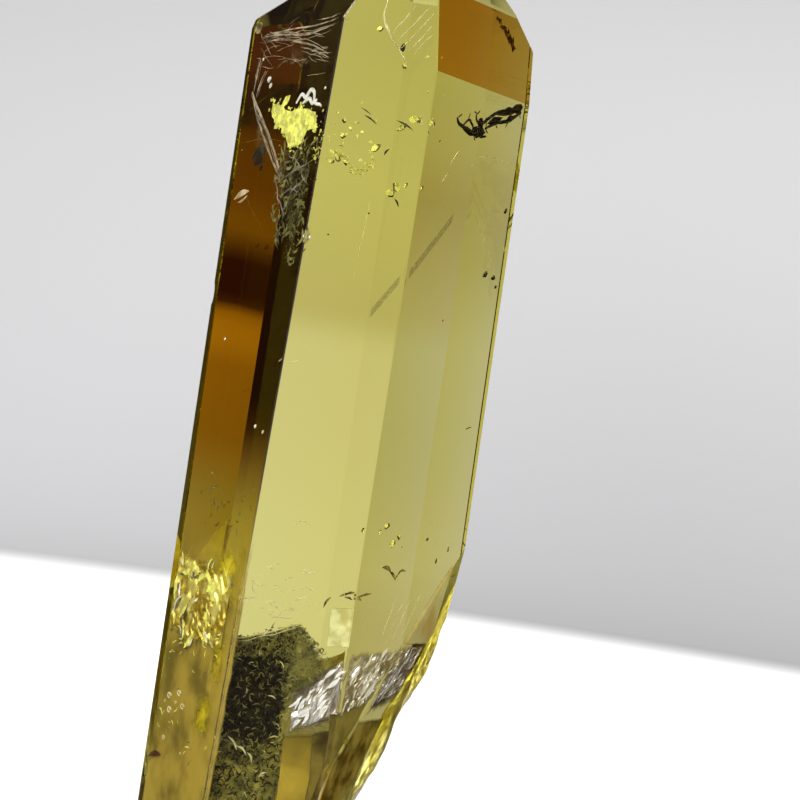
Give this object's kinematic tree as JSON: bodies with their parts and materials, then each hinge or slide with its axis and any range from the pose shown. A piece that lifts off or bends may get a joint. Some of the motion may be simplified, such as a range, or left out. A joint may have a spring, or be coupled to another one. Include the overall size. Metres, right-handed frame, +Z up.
{
  "type": "citrine crystal point",
  "caption": "See-through yellow quartz crystal: a tall flat-faced prism with a pointed end, standing on its flat cut base, with a rough break low at the back and right.",
  "frame": {"origin": "centre of the bounding box at the cut base that the crystal stands on", "axes": "+Z up along the crystal's long axis to its point, -Y out of the widest smooth front face"},
  "size_m": [0.0406, 0.0372, 0.1311],
  "materials": {
    "citrine": "glassy natural crystal faces, clear pale yellow, with rough broken surfaces low down",
    "dark_inclusions": "dark mineral needles, flakes and grains sealed in the crystal",
    "bright_inclusions": "glinting healed cracks and flakes sealed in the crystal"
  },
  "bodies": {
    "root": {"crystal_point": "citrine"}
  },
  "joints": []
}
